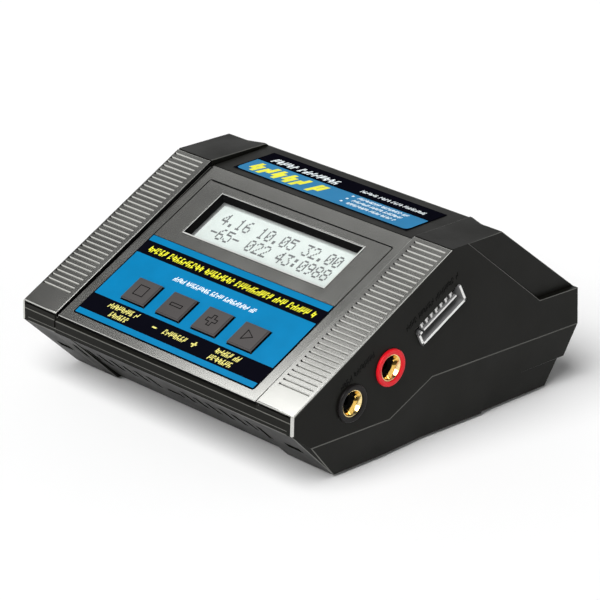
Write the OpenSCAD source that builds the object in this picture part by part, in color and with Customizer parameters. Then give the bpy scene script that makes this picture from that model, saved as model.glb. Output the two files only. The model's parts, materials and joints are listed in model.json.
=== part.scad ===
// Desktop balance charger with a sloping control panel, in millimetres.
// +X is the user's right, +Y the back, +Z up; origin at the centre of the base, under the feet.

/* [Case] */
// Width across the two end pods
case_w = 130; // [124:1:140]
// Depth from the front face to the rear seam
case_d = 137.4; // [134:0.2:146]
// Height of the case without its feet
case_h = 65.4; // [63:0.2:68]
// Height of the panel's front edge
front_edge_z = 27.6; // [25:0.2:30]
// Height of the front face's lower edge
front_foot_z = 20.8; // [18:0.2:22]
// Set-back of the base behind the front face
base_front_y = 21.8; // [19:0.2:24]
// Distance from the front face to the start of the flat top
top_front_y = 71.2; // [69:0.2:74]
// Length of the flat top on the end pods
top_len = 24.3; // [20:0.1:26]
// Wall thickness of the shells
wall = 2.4; // [2:0.1:2.8]
// How far the rubber feet stand below the base
foot_proud = 0.8; // [0.4:0.1:1.5]

/* [Front panel] */
// Half the width of the silver centre panel
panel_half_w = 47.6; // [46:0.1:47.8]
// Inner edge of each ribbed rail, from the centre line
rail_inner_x = 48.4; // [48.2:0.1:51]
// Thickness of the panel and of the rails
plate_t = 2; // [1.6:0.1:2.2]
// Number of grip ribs on each rail
rib_count = 33; // [10:1:36]
// Depth of the grooves between the grip ribs
rib_h = 0.55; // [0.2:0.05:0.8]
// Width of the display opening
window_w = 68.2; // [66:0.2:72]
// Length of the display opening along the slope
window_l = 21.2; // [20:0.2:22]

/* [Keys] */
// Width of a key
key_w = 11.3; // [9:0.1:12]
// Length of a key along the slope
key_l = 10.2; // [8:0.1:11]
// Spacing of the four keys
key_pitch = 17.1; // [16.5:0.1:18]
// How far a key stands above the panel
key_proud = 1.3; // [0.8:0.1:2]
// Travel of a key
key_travel = 0.6; // [0.3:0.1:0.9]
// Clearance round a key
key_gap = 0.3; // [0.25:0.05:0.4]

/* [Output side] */
// Bore of the banana jacks
jack_bore_d = 4; // [3.9:0.05:4.1]
// Outside diameter of a jack's insulating ring
jack_ring_d = 12.8; // [11:0.1:14]
// Length of the balance port along the slope
balance_l = 22.9; // [20:0.1:25]
// Height of the balance port
balance_h = 6.8; // [6:0.1:8]
// Number of pins in the balance port
balance_pins_n = 7; // [4:1:8]

/* [Cooling] */
// Side of the square fan
fan_side = 40; // [30:1:40]
// Thickness of the fan
fan_t = 10; // [8:1:12]
// Number of fan blades
fan_blades = 7; // [5:1:9]

/* [Hidden] */
$fn = 48;
eps = 0.01;

// Side profile of the case, as [y, z] points
half_w = case_w / 2;
seam_rear_z = 21.2;
rear_edge = [case_d - 1, 34.7];
p_foot = [0, front_foot_z];
p_front = [0, front_edge_z];
p_top1 = [top_front_y, case_h];
p_top2 = [top_front_y + top_len, case_h];
p_seam = [case_d, seam_rear_z];
p_base2 = [case_d - 10.6, 0];
p_base1 = [base_front_y, 0];
seam_1 = [8.8, 14.2];
seam_2 = [44.5, 13.5];
seam_3 = [64.2, 22.8];
case_profile = [p_foot, p_base1, p_base2, p_seam, rear_edge, p_top2, p_top1, p_front];
upper_profile = [p_foot, seam_1, seam_2, seam_3, p_seam, rear_edge, p_top2, p_top1, p_front];

// Seam beside the left pod, and the part of the undercut that leans further back
pod_seam_x = 48.5;
undercut_step_x = 41.5;
undercut_lean = 2.4;

// Angles of the sloping faces
slope_len = norm(p_top1 - p_front);
slope_angle = atan2(p_top1.y - p_front.y, p_top1.x - p_front.x);
rear_angle = atan2(p_top2.y - rear_edge.y, rear_edge.x - p_top2.x);
rear_len = norm(rear_edge - p_top2);
undercut_angle = atan2(front_foot_z, base_front_y);
undercut_len = norm(p_base1 - p_foot);

// The centre panel lies below the rails, deeper at its top end
panel_drop_front = 0.3;
panel_drop_top = 1.6;
// It also sits a little to the right, so its gap shows on the left only
panel_mid_x = 0.3;
panel_tilt = atan2(panel_drop_top - panel_drop_front, slope_len);
slope_wall = plate_t + wall + panel_drop_top;

// Display
window_u = 60;
lcd_view_w = 64.5;
lcd_view_l = 16.4;
lcd_depth = 3.8;
board_depth = 12.6;
board_t = 1.6;

// Keys, counted from the user's left
key_u = 20.9;
key_x = [for (i = [0:3]) (i - 1.5) * key_pitch];
key_flange = 1.2;
key_flange_t = 1;
key_flange_top = slope_wall - 0.25;
switch_side = 6;
switch_h = 3.5;
plunger_d = 3.4;
plunger_top = board_depth - switch_h - 1.4;

// Output side
jack_minus = [26.4, 24.7];
jack_plus = [43.8, 32];
jack_body_d = 9.6;
jack_len = 18;
flange_proud = 1;
balance_at = [66.8, 43.9];
balance_depth = 9;
balance_pitch = 2.5;

// Input side
inlet_at = [52, 31];
inlet_w = 24;
inlet_h = 13;
inlet_depth = 19;
inlet_pin_pitch = 8.6;
inlet_well = 11;
dc_at = [27, 25];
dc_bore_d = 6.4;
dc_depth = 14;
dc_floor_t = 3;
dc_root_d = 2.6;
dc_pin_d = 2;
dc_pin_free = 9.5;

// Case screws stand in these four bosses, clear of both sockets
boss_x = half_w - 11;
boss_y = [89, 121];
boss_d = 8;
boss_split_z = 12;
screw_d = 2.8;
pilot_d = 3;
screw_head_d = 5.6;

// Rear fan, held under the rear slope
fan_v = 26;
fan_top = wall;
fan_hub_d = 20;
fan_duct_d = fan_side - 2.5;
fan_shaft_d = 2;
running_gap = 0.05;
fan_screw_at = [for (i = [-1, 1], j = [-1, 1]) [i, j] * (fan_side / 2 - 4)];

shell_black = [0.13, 0.13, 0.12];
silver = [0.62, 0.62, 0.6];
key_grey = [0.25, 0.24, 0.24];
gold = [0.85, 0.66, 0.25];
board_green = [0.08, 0.32, 0.16];
steel = [0.7, 0.71, 0.72];

// --- Frames of reference -------------------------------------------------

// Case frame: front face at y = 0, base at z = 0
module in_case() { translate([0, -case_d / 2, foot_proud]) children(); }

// Sloping face: y runs up the slope, z points out of it
module on_slope() { translate([0, 0, front_edge_z]) rotate([slope_angle, 0, 0]) children(); }

// Centre panel's own surface, slightly below the sloping face
module on_panel() {
    on_slope() translate([panel_mid_x, 0, -panel_drop_front]) rotate([-panel_tilt, 0, 0]) children();
}

// Rear slope: y runs down the slope, z points out of it
module on_rear() { translate([0, p_top2.x, p_top2.y]) rotate([-rear_angle, 0, 0]) children(); }

// Front undercut: y runs down towards the base, z points into the case
module on_undercut() { translate([0, 0, front_foot_z]) rotate([-undercut_angle, 0, 0]) children(); }

// Its centre part, which leans further back
module on_undercut_centre() { on_undercut() rotate([undercut_lean, 0, 0]) children(); }

// Right-hand wall: z points out of the wall, y towards the back
module on_right(at) { translate([half_w, at.x, at.y]) rotate([0, 90, 0]) children(); }

// Left-hand wall: z points out of the wall
module on_left(at) { translate([-half_w, at.x, at.y]) rotate([0, -90, 0]) children(); }

// A [y, z] outline drawn across the case between two x places
module across(points, x0, x1) {
    translate([x0, 0, 0]) rotate([90, 0, 90]) linear_extrude(x1 - x0) polygon(points);
}

// A box centred in x and y, between two heights
module slab(w, l, z0, z1) { translate([-w / 2, -l / 2, z0]) cube([w, l, z1 - z0]); }

// A slab with rounded corners in plan
module round_slab(w, l, r, z0, z1) {
    for (s = [[w - 2 * r, l], [w, l - 2 * r]]) slab(s.x, s.y, z0, z1);
    for (i = [-1, 1], j = [-1, 1])
        translate([i * (w / 2 - r), j * (l / 2 - r), z0]) cylinder(r = r, h = z1 - z0);
}

// --- Outlines -------------------------------------------------------------

function inward(a, b) = let(d = (b - a) / norm(b - a)) [-d.y, d.x];

// Moves each edge of a counter-clockwise outline inwards by its own distance
function inset(points, dists) = [
    for (i = [0:len(points) - 1])
        let (n = len(points),
             prev = (i + n - 1) % n,
             n1 = inward(points[prev], points[i]),
             n2 = inward(points[i], points[(i + 1) % n]),
             c1 = points[i] * n1 + dists[prev],
             c2 = points[i] * n2 + dists[i],
             det = n1.x * n2.y - n1.y * n2.x)
        [(c1 * n2.y - c2 * n1.y) / det, (n1.x * c2 - n2.x * c1) / det]
];

// The hollow inside the case: thicker under the panel than elsewhere
cavity_profile = inset(case_profile, [wall, wall, wall, wall, wall, wall + 1, slope_wall, wall]);

// --- Shells ---------------------------------------------------------------

// Pocket for the centre panel, measured up the panel, and the set-back front band
panel_pocket_end = 80.4;
front_band_h = 2.4;
front_band_in = 0.25;
pod_groove_w = 1;

// Raised centre of the rear slope, which carries the fan grille
rear_pad_rise = 1.5;
rear_pad_half = 49.4;
rear_pad_foot_half = 55.2;
module rear_pad() {
    rear_pad_l = rear_len - 1;
    // The raised face starts where it meets the height of the flat top
    face_start = rear_pad_rise / tan(rear_angle);
    on_rear() hull() {
        translate([0, rear_pad_l / 2, 0]) slab(2 * rear_pad_foot_half, rear_pad_l, -1, 0);
        translate([0, (face_start + rear_pad_l - 0.6) / 2, 0])
            slab(2 * rear_pad_half, rear_pad_l - 0.6 - face_start, 0, rear_pad_rise);
    }
}

// Shallow scoop in each side of the case, along the rear slope
scoop_lean = 4.2;
module side_scoop(side) {
    scoop = [[79.2, case_h + 0.02], [116.7, 35.3], [case_d + 1, 34.6], [case_d + 1, case_h + 0.02]];
    intersection() {
        across(scoop, side > 0 ? half_w - 5 : -half_w - 5, side > 0 ? half_w + 5 : -half_w + 5);
        translate([side * half_w, 0, case_h]) rotate([0, side * scoop_lean, 0])
            translate([side > 0 ? 0 : -10, 0, -60]) cube([10, case_d + 5, 60.5]);
    }
}

// Ventilation slots in the rear pad, cut to the fan's round duct
module fan_slots() {
    slot_pitch = 3.4;
    slot_w = 2;
    on_rear() translate([0, fan_v, 0]) for (i = [-5:5])
        let (chord = 2 * sqrt(pow(fan_duct_d / 2 - 1, 2) - pow(i * slot_pitch, 2)))
        translate([0, i * slot_pitch, 0]) slab(chord, slot_w, -wall - 3, 4);
}

module upper_boss(y) {
    intersection() {
        translate([0, y, boss_split_z]) cylinder(d = boss_d, h = case_h);
        across(inset(case_profile, [for (i = [0:7]) 1.2]), -10, 10);
    }
}

module upper_shell_blank() {
    difference() {
        union() {
            across(upper_profile, -half_w, half_w);
            rear_pad();
        }
        across(cavity_profile, -half_w + wall, half_w - wall);
        undercut_wall();
        for (side = [-1, 1]) side_scoop(side);
    }
    for (side = [-1, 1], y = boss_y) translate([side * boss_x, 0, 0]) upper_boss(y);
    for (x = latch_x) translate([x, 0, 0]) latch_hook();
}

// Wall of the front undercut between the side walls; it belongs to the lower shell
module undercut_wall() {
    on_undercut() translate([0, undercut_len / 2, 0])
        slab(2 * (half_w - wall - 0.1), undercut_len + 2, 0, wall);
}

// Snap hooks that reach down behind the front undercut
latch_x = [-55.5, 0, 55.5];
latch_u = 14.6;
latch_w = 7;
hook_lean = 6;
module latch_hook() {
    on_undercut() {
        translate([0, (latch_u + 3) / 2 + 3, 0]) slab(latch_w, latch_u - 1, wall + 0.35, wall + 1.85);
        translate([0, latch_u, 0]) rotate([hook_lean, 0, 0]) slab(latch_w - 1, 2.2, 0.4, wall + 0.6);
    }
    // The root of the hook, inside the front face
    root_profile = inset(case_profile, [wall + 0.35, 1, 1, 1, 1, 1, 1, 1]);
    intersection() {
        across(root_profile, -latch_w / 2, latch_w / 2);
        translate([-latch_w / 2, 0, front_foot_z - 5]) cube([latch_w, 6.4, 8]);
    }
}

module upper_shell() {
    color(shell_black) in_case() difference() {
        upper_shell_blank();
        // Pockets for the silver rails, shallow along the outer edge, and for the centre panel
        for (side = [-1, 1]) on_slope() {
            translate([side * (rail_inner_x + half_w - rail_skirt_w) / 2, slope_len / 2, 0])
                slab(half_w - rail_skirt_w - rail_inner_x, slope_len + 0.4, -plate_t, 3);
            translate([side * half_w, slope_len / 2, 0])
                slab(2 * rail_skirt_w, slope_len + 0.4, -rail_skirt_t, 3);
        }
        for (side = [-1, 1]) corner_strip(side, 0.02);
        on_panel() translate([-panel_mid_x, (panel_pocket_end - 2) / 2, 0])
            slab(2 * rail_inner_x, panel_pocket_end + 2, -plate_t, 3);
        // The upper part of the front face is set back
        translate([-half_w - 1, -1, front_edge_z - front_band_h])
            cube([case_w + 2, 1 + front_band_in, front_band_h + 1]);
        // Centre of the top, a little lower than the pods and open over the rear pad
        across([[top_front_y - 2, case_h + 2], [top_front_y - 2, case_h - 1.55],
                [p_top2.x + 4, case_h - 0.8], [p_top2.x + 4, case_h + 2]], -rail_inner_x, rail_inner_x);
        // Fine groove between the top's centre and each pod
        for (side = [-1, 1])
            across([[top_front_y - 3, case_h], [top_front_y - 3, case_h - 2.4],
                    [p_top2.x - 1, case_h - 1.6], [p_top2.x - 1, case_h]],
                   side * (rail_inner_x - pod_groove_w / 2) - pod_groove_w / 2,
                   side * (rail_inner_x - pod_groove_w / 2) + pod_groove_w / 2);
        // Display well and key openings through the wall under the panel
        on_panel() translate([0, window_u, 0]) slab(81, 24.6, -12, 0);
        for (x = key_x) on_panel() translate([x, key_u, 0])
            slab(key_w + 2 * key_gap, key_l + 2 * key_gap, -12, 0);
        // Output side: two jacks and the balance port
        for (at = [jack_minus, jack_plus]) on_right(at) cylinder(d = jack_body_d + 0.2, h = 12, center = true);
        on_right(balance_at) rotate([0, 0, slope_angle]) slab(balance_h + 0.2, balance_l + 0.2, -6, 6);
        // Input side: mains inlet and direct-current jack
        on_left(inlet_at) slab(inlet_h + 0.2, inlet_w + 0.2, -6, 6);
        on_left(dc_at) cylinder(d = 9.2, h = 12, center = true);
        fan_slots();
        for (x = [-1, 1], y = boss_y)
            translate([x * boss_x, y, boss_split_z - 1]) cylinder(d = pilot_d, h = 15);
        // Pilot holes for the fan's screws
        for (at = fan_screw_at) on_rear() translate([at.x, fan_v + at.y, -fan_top - 1]) cylinder(d = pilot_d, h = 2.8);
        // Seam between the left pod and the centre of the front face
        translate([-pod_seam_x - 0.3, -1, front_foot_z - 1]) cube([0.6, 1.5, front_edge_z - front_foot_z + 1.5]);
    }
}

// Leaning outer skin of the lower shell: seam points at full width, base points drawn in
lower_seam = [p_foot, seam_1, seam_2, seam_3, p_seam];
lower_base = [[p_base1.x, 2.5], [44, 2.3], [63.8, 3.4], [p_base2.x, 1.9]];
module lower_shell_skin() {
    side = [for (s = [1, -1]) concat(
        [for (p = lower_seam) [s * half_w, p.x, p.y]],
        [for (b = lower_base) [s * (half_w - b.y), b.x, 0]])];
    n = 9;
    wall_faces = [[1, 5, 0], [6, 5, 1], [2, 6, 1], [7, 6, 2], [3, 7, 2], [8, 7, 3], [4, 8, 3]];
    polyhedron(
        points = concat(side[0], side[1]),
        faces = concat(
            wall_faces,
            [for (f = wall_faces) [f[2] + n, f[1] + n, f[0] + n]],
            [for (i = [0:3]) [i + n, i + 1 + n, i + 1, i]],
            [[5 + n, n, 0, 5], [4 + n, 8 + n, 8, 4]],
            [[8 + n, 7 + n, 6 + n, 5 + n, 5, 6, 7, 8]]));
}

// Shallow panel round each rear foot
foot_panel_z = 10.6;
module rear_foot_relief(side) {
    relief = [[91.7, -1], [96.8, 8.8], [99.6, foot_panel_z], [case_d + 2, foot_panel_z - 0.4], [case_d + 2, -1]];
    intersection() {
        across(relief, -half_w - 1, half_w + 1);
        union() {
            translate([side * (half_w - 3.7), 0, 0]) rotate([0, side * 6.6, 0])
                translate([side > 0 ? 0 : -10, 0, -2]) cube([10, case_d + 5, 20]);
            translate([side > 0 ? 40 : -half_w - 1, p_base2.x - 1, 0]) rotate([-26.6, 0, 0])
                translate([0, 0, -2]) cube([half_w - 39, 10, 20]);
        }
    }
}

louvre_pitch = 6.05;
louvre_first = 8.3;
louvre_w = 2.2;
module lower_shell() {
    color(shell_black) in_case() difference() {
        union() {
            difference() {
                lower_shell_skin();
                across(cavity_profile, -half_w + 5, half_w - 5);
            }
            intersection() {
                across(case_profile, -half_w, half_w);
                undercut_wall();
            }
            for (x = [-1, 1], y = boss_y)
                translate([x * boss_x, y, 1]) cylinder(d = boss_d, h = boss_split_z - 1);
            // Posts under the main board
            for (x = [-1, 1], y = [32, 78, 118]) translate([x * 44, y, 1]) cylinder(d = 6, h = board_z - 1);
        }
        // Vent slots down the front undercut, each crossed by a small bar near its lower end
        for (side = [-1, 1], i = [0:6]) difference() {
            on_undercut() translate([side * (louvre_first + i * louvre_pitch), 11.4, 0]) slab(louvre_w, 9, -2, 6);
            on_undercut_centre() translate([side * (louvre_first + i * louvre_pitch), 13.6, 0])
                rotate([hook_lean, 0, 0]) slab(louvre_w + 1, 1.6, 0.2, wall - 0.6);
        }
        // Windows for the snap hooks
        for (x = latch_x) on_undercut() translate([x, latch_u, 0]) slab(latch_w, 3.4, -2, 6);
        // The centre of the undercut and base edge sits slightly back
        on_undercut_centre()
            translate([-undercut_step_x, 0, -4]) cube([2 * undercut_step_x, undercut_len + 4, 4]);
        // Seam between the left pod and the centre, carried on down the undercut
        on_undercut() translate([-pod_seam_x - 0.3, -1, -1]) cube([0.6, undercut_len + 4, 1.5]);
        for (side = [-1, 1]) rear_foot_relief(side);
        // Screw holes with counterbores
        for (x = [-1, 1], y = boss_y) translate([x * boss_x, y, -1]) {
            cylinder(d = 3.4, h = boss_split_z + 2);
            cylinder(d = 6.4, h = 7);
        }
        // Sockets for the feet
        for (at = foot_at) translate([at.x, at.y, -1]) cylinder(d = foot_d + 0.2, h = 2);
        // Floor vents under the power section
        for (i = [0:6]) translate([-24 + i * 8, 74, -1]) slab(3, 30, 0, 6);
    }
}

// --- Silver front ---------------------------------------------------------

module front_panel() {
    panel_l = panel_pocket_end - 0.4;
    color(silver) in_case() on_panel() difference() {
        translate([0, panel_l / 2 + 0.3, 0]) slab(2 * panel_half_w, panel_l, -plate_t, 0);
        translate([0, window_u, 0]) slab(window_w, window_l, -plate_t - 1, 1);
        for (x = key_x) translate([x, key_u, 0])
            slab(key_w + 2 * key_gap, key_l + 2 * key_gap, -plate_t - 1, 1);
        // Fine line round the control area
        translate([0, 39.1, 0]) difference() {
            round_slab(87.2, 70.8, 1, -0.3, 1);
            round_slab(86.2, 69.8, 0.5, -1, 2);
        }
    }
}

// A rail's side outline: flat front end, then flat ribs parted by grooves with a sloping far wall
rib_start = 8.05;
rib_end = 78.7;
rail_outline = concat(
    [[0.3, -plate_t], [slope_len - 0.4, -plate_t], [slope_len - 0.1, -0.3], [slope_len - 0.4, 0]],
    [for (i = [rib_count - 1:-1:0])
        let (pitch = (rib_end - rib_start) / rib_count, u = rib_start + i * pitch)
        each [[u + pitch, 0], [u + 0.76 * pitch, -rib_h], [u + 0.62 * pitch, -rib_h], [u + 0.6 * pitch, 0]]],
    [[0.6, 0], [0.3, -0.3]]);
rail_flat = [[0.3, -plate_t], [slope_len - 0.4, -plate_t], [slope_len - 0.1, -0.3],
             [slope_len - 0.4, 0], [0.6, 0], [0.3, -0.3]];

// The outer edge is a thin skirt over the shell, and a strip runs down the front corner
rail_skirt_w = 0.8;
rail_skirt_t = 0.6;
strip_foot_z = front_foot_z + 0.1;
module corner_strip(side, spare) {
    w = rail_skirt_w + spare;
    translate([side * (half_w - w / 2), w / 2, strip_foot_z - spare])
        linear_extrude(front_edge_z - strip_foot_z) square(w, center = true);
}

// Plain margins at the left and right of each rail's ribs
rib_margins = [[0.5, 2.2], [1.8, 1.2]];
module rail(side) {
    x0 = side > 0 ? rail_inner_x : -half_w;
    x1 = side > 0 ? half_w : -rail_inner_x;
    margin = rib_margins[side > 0 ? 1 : 0];
    color(silver) in_case() {
        difference() {
            on_slope() {
                across(rail_outline, x0 + margin[0], x1 - margin[1]);
                across(rail_flat, x0, x0 + margin[0]);
                across(rail_flat, x1 - margin[1], x1);
            }
            // The skirt is thinner than the rest
            on_slope() translate([side * half_w, slope_len / 2, 0])
                slab(2 * rail_skirt_w, slope_len + 2, -plate_t - 1, -rail_skirt_t);
        }
        corner_strip(side, 0);
    }
}
module left_rail() { rail(-1); }
module right_rail() { rail(1); }

film_t = 0.15;
label_front = 4.3;
label_back = 44.2;
module keypad_label() {
    color([0, 0.42, 0.7]) in_case() on_panel() difference() {
        translate([0, (label_front + label_back) / 2, 0])
            slab(2 * 42.9, label_back - label_front, 0, film_t);
        for (x = key_x) translate([x, key_u, 0])
            slab(key_w + 2 * key_gap, key_l + 2 * key_gap, -1, 1);
    }
}

module top_label() {
    label_y0 = 75.2;
    label_y1 = 94.4;
    drop = (p_top2.x + 4 - (top_front_y - 2)) / 0.75;
    color([0, 0.42, 0.7]) in_case()
        across([[label_y0, case_h - 1.55 + (label_y0 - top_front_y + 2) / drop + eps],
                [label_y1, case_h - 1.55 + (label_y1 - top_front_y + 2) / drop + eps],
                [label_y1, case_h - 1.55 + (label_y1 - top_front_y + 2) / drop + film_t],
                [label_y0, case_h - 1.55 + (label_y0 - top_front_y + 2) / drop + film_t]], -41, 41);
}

// --- Display --------------------------------------------------------------

// Frame with sloping walls down to the glass
module lcd_bezel() {
    lip = 0.3;
    color([0.72, 0.73, 0.7]) in_case() on_panel() translate([0, window_u, 0]) difference() {
        slab(window_w - 0.2, window_l - 0.2, -lcd_depth + 1.35, 0.1);
        hull() {
            slab(window_w - 2 * lip - 0.6, window_l - 2 * lip - 0.6, 0.1, 1);
            slab(lcd_view_w, lcd_view_l, -lcd_depth, -lcd_depth + 1.3);
        }
    }
}

module lcd_window() {
    color([0.85, 0.9, 0.88, 0.5]) in_case() on_panel() translate([0, window_u, 0])
        slab(window_w - 1, window_l - 0.6, -lcd_depth + 0.55, -lcd_depth + 1.3);
}

module lcd_module() {
    color([0.75, 0.8, 0.72]) in_case() on_panel() translate([0, window_u, 0]) {
        slab(71.2, 24, -board_depth, -lcd_depth - 0.6);
        slab(lcd_view_w, lcd_view_l, -lcd_depth - 0.6, -lcd_depth + 0.5);
    }
}

module display_board() {
    color(board_green) in_case() on_panel() translate([0, 41, 0])
        difference() {
            slab(90, 66, -board_depth - board_t, -board_depth);
            for (x = [-1, 1], y = [-1, 1]) translate([x * 41.5, y * 29.5, -board_depth - 3]) cylinder(d = 3.2, h = 5);
        }
}

// --- Keys -----------------------------------------------------------------

module key(i) {
    color(key_grey) in_case() on_panel() translate([key_x[i], key_u, 0]) {
        slab(key_w, key_l, -key_flange_top, key_proud - 0.3);
        slab(key_w - 0.8, key_l - 0.8, key_proud - 0.3, key_proud);
        slab(key_w + 2 * key_flange, key_l + 2 * key_flange, -key_flange_top - key_flange_t, -key_flange_top);
    }
}
module stop_key() { key(0); }
module minus_key() { key(1); }
module plus_key() { key(2); }
module start_key() { key(3); }

// The moving stem of each switch, pressed by its key
module plunger(i) {
    color([0.1, 0.1, 0.1]) in_case() on_panel() translate([key_x[i], key_u, -plunger_top - 2.2])
        cylinder(d = plunger_d, h = 2.2 + plunger_top - key_flange_top - key_flange_t);
}
module stop_plunger() { plunger(0); }
module minus_plunger() { plunger(1); }
module plus_plunger() { plunger(2); }
module start_plunger() { plunger(3); }

module tact_switches() {
    color(steel) in_case() on_panel() for (x = key_x) translate([x, key_u, 0]) difference() {
        slab(switch_side, switch_side, -board_depth, -board_depth + switch_h);
        translate([0, 0, -board_depth + 0.6]) cylinder(d = plunger_d + 2 * key_gap, h = 6);
    }
}

// --- Output side ----------------------------------------------------------

// Insulated ring with a flange outside the wall and a sleeve through it
module jack_ring(at, tint) {
    sleeve = 6;
    color(tint) in_case() on_right(at) rotate_extrude() polygon([
        [4.6, -sleeve], [jack_body_d / 2, -sleeve], [jack_body_d / 2, 0], [jack_ring_d / 2, 0],
        [jack_ring_d / 2, flange_proud - 0.4], [jack_ring_d / 2 - 0.6, flange_proud],
        [4.6, flange_proud]]);
}
module negative_jack_ring() { jack_ring(jack_minus, [0.08, 0.07, 0.07]); }
module positive_jack_ring() { jack_ring(jack_plus, [0.8, 0.05, 0.1]); }

// Plated socket: funnel at the mouth, a short counterbore, then the bore for a banana plug
funnel_depth = 1.9;
counterbore_depth = 3.2;
module jack_socket(at) {
    color(gold) in_case() on_right(at) rotate_extrude() polygon([
        [jack_bore_d / 2, -jack_len], [3.4, -jack_len], [3.4, -7], [4.6, -6.4],
        [4.6, 0.4], [4.3, 0.4], [3, -funnel_depth], [3, -counterbore_depth],
        [jack_bore_d / 2, -counterbore_depth]]);
}
module negative_jack_socket() { jack_socket(jack_minus); }
module positive_jack_socket() { jack_socket(jack_plus); }

module jack_nuts() {
    color(steel) in_case() for (at = [jack_minus, jack_plus]) on_right(at)
        translate([0, 0, -wall - 2.6]) difference() {
            cylinder(d = 13.6, h = 2.6, $fn = 6);
            translate([0, 0, -1]) cylinder(d = jack_body_d, h = 5);
        }
}

// Shrouded header, open outwards, with keying notches along its upper wall
module balance_housing() {
    shroud = 0.9;
    color([0.9, 0.9, 0.87]) in_case() on_right(balance_at) rotate([0, 0, slope_angle]) difference() {
        slab(balance_h, balance_l, -balance_depth, 0.8);
        slab(balance_h - 2 * shroud, balance_l - 2 * shroud, -balance_depth + 2, 2);
        for (i = [0:balance_pins_n - 1]) translate([-balance_h / 2, balance_pin_y(i), 0])
            slab(2.4, 1.1, -2.6, 2);
        for (i = [0:balance_pins_n - 1]) translate([0, balance_pin_y(i), -balance_depth - 1])
            cylinder(d = 0.64, h = 6, $fn = 24);
    }
}
function balance_pin_y(i) = (i - (balance_pins_n - 1) / 2) * balance_pitch;

module balance_pins() {
    color(steel) in_case() on_right(balance_at) rotate([0, 0, slope_angle])
        for (i = [0:balance_pins_n - 1]) translate([0, balance_pin_y(i), -balance_depth - 3.6])
            cylinder(d = 0.64, h = balance_depth + 2, $fn = 24);
}

module balance_board() {
    color(board_green) in_case() on_right(balance_at) rotate([0, 0, slope_angle]) difference() {
        slab(12, 28, -balance_depth - board_t, -balance_depth);
        for (i = [0:balance_pins_n - 1]) translate([0, balance_pin_y(i), -balance_depth - 3])
            cylinder(d = 0.64, h = 6, $fn = 24);
    }
}

// --- Input side -----------------------------------------------------------

// Two-pole mains inlet with a figure-eight well
module ac_inlet() {
    color([0.07, 0.07, 0.07]) in_case() on_left(inlet_at) difference() {
        union() {
            slab(inlet_h, inlet_w, -inlet_depth, 0);
            slab(inlet_h + 2, inlet_w + 2, 0, flange_proud);
        }
        for (s = [-1, 1]) translate([0, s * inlet_pin_pitch / 2, -inlet_well]) cylinder(d = 9, h = inlet_well + 2);
        slab(7.4, inlet_pin_pitch, -inlet_well, 2);
        for (s = [-1, 1]) translate([0, s * inlet_pin_pitch / 2, -inlet_depth - 1]) cylinder(d = 2.4, h = 12);
    }
}

module ac_inlet_pins() {
    color(steel) in_case() on_left(inlet_at) for (s = [-1, 1])
        translate([0, s * inlet_pin_pitch / 2, -inlet_depth - 3]) cylinder(d = 2.4, h = inlet_depth + 1);
}

module dc_jack() {
    color([0.07, 0.07, 0.07]) in_case() on_left(dc_at) difference() {
        union() {
            slab(9, 9, -dc_depth, -wall);
            translate([0, 0, -wall]) cylinder(d = 9, h = wall);
        }
        translate([0, 0, -dc_depth + dc_floor_t]) cylinder(d = dc_bore_d, h = dc_depth);
        translate([0, 0, -dc_depth - 1]) cylinder(d = dc_root_d, h = dc_floor_t + 2);
    }
}

// Centre pin: a thicker root through the socket's floor, then the free end
module dc_jack_pin() {
    color(steel) in_case() on_left(dc_at) {
        translate([0, 0, -dc_depth]) cylinder(d = dc_root_d, h = dc_floor_t);
        translate([0, 0, -dc_depth + dc_floor_t]) cylinder(d = dc_pin_d, h = dc_pin_free);
    }
}

// --- Main board and its parts ---------------------------------------------

board_z = 6;
board_top = board_z + board_t;
module main_board() {
    color(board_green) in_case() difference() {
        translate([-49, 26, board_z]) cube([98, 98, board_t]);
        for (x = [-1, 1], y = [32, 78, 118]) translate([x * 44, y, board_z - 1]) cylinder(d = 3.2, h = 5);
    }
}

module on_board(x, y) { in_case() translate([x, y, board_top]) children(); }

module transformer_core() {
    color([0.25, 0.24, 0.24]) on_board(-24, 92) difference() {
        slab(30, 26, 1, 24);
        for (s = [-1, 1]) translate([s * 9, 0, 0]) slab(7, 30, 6, 19);
    }
}

module transformer_winding() {
    color([0.85, 0.72, 0.2]) on_board(-24, 92) difference() {
        slab(24.6, 34, 6.2, 18.8);
        slab(11.2, 27, 5, 20);
        for (s = [-1, 1]) translate([s * 15.9, 0, 0]) slab(7, 27, 5, 20);
    }
}

module bulk_capacitor() {
    color([0.12, 0.12, 0.2]) on_board(-24, 56) cylinder(d = 18, h = 25);
}

module filter_capacitors() {
    color([0.15, 0.15, 0.3]) for (at = [[4, 100], [16, 100], [4, 114]]) on_board(at.x, at.y) cylinder(d = 10, h = 16);
}

module choke_core() {
    color([0.3, 0.32, 0.2]) on_board(2, 66) translate([0, 0, 1]) rotate_extrude()
        translate([7.5, 4.5]) square([7, 9], center = true);
}

module power_heatsink() {
    fins = 7;
    color([0.6, 0.61, 0.62]) on_board(34, 98) {
        slab(4, 36, 0, 26);
        for (i = [0:fins - 1]) translate([6, (i - (fins - 1) / 2) * 5.4, 0]) slab(9, 1.6, 2, 26);
    }
}

module discharge_heatsink() {
    fins = 6;
    color([0.6, 0.61, 0.62]) on_board(26, 46) {
        slab(26, 3, 0, 18);
        for (i = [0:fins - 1]) translate([(i - (fins - 1) / 2) * 4.8, 5, 0]) slab(1.4, 8, 2, 18);
    }
}

module power_transistors() {
    color([0.06, 0.06, 0.06]) {
        for (i = [-1:1]) on_board(29.7, 98 + i * 12) slab(4.6, 10, 3, 18);
        for (i = [-1, 1]) on_board(26 + i * 7, 42.2) slab(10, 4.6, 2, 17);
    }
}

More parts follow.
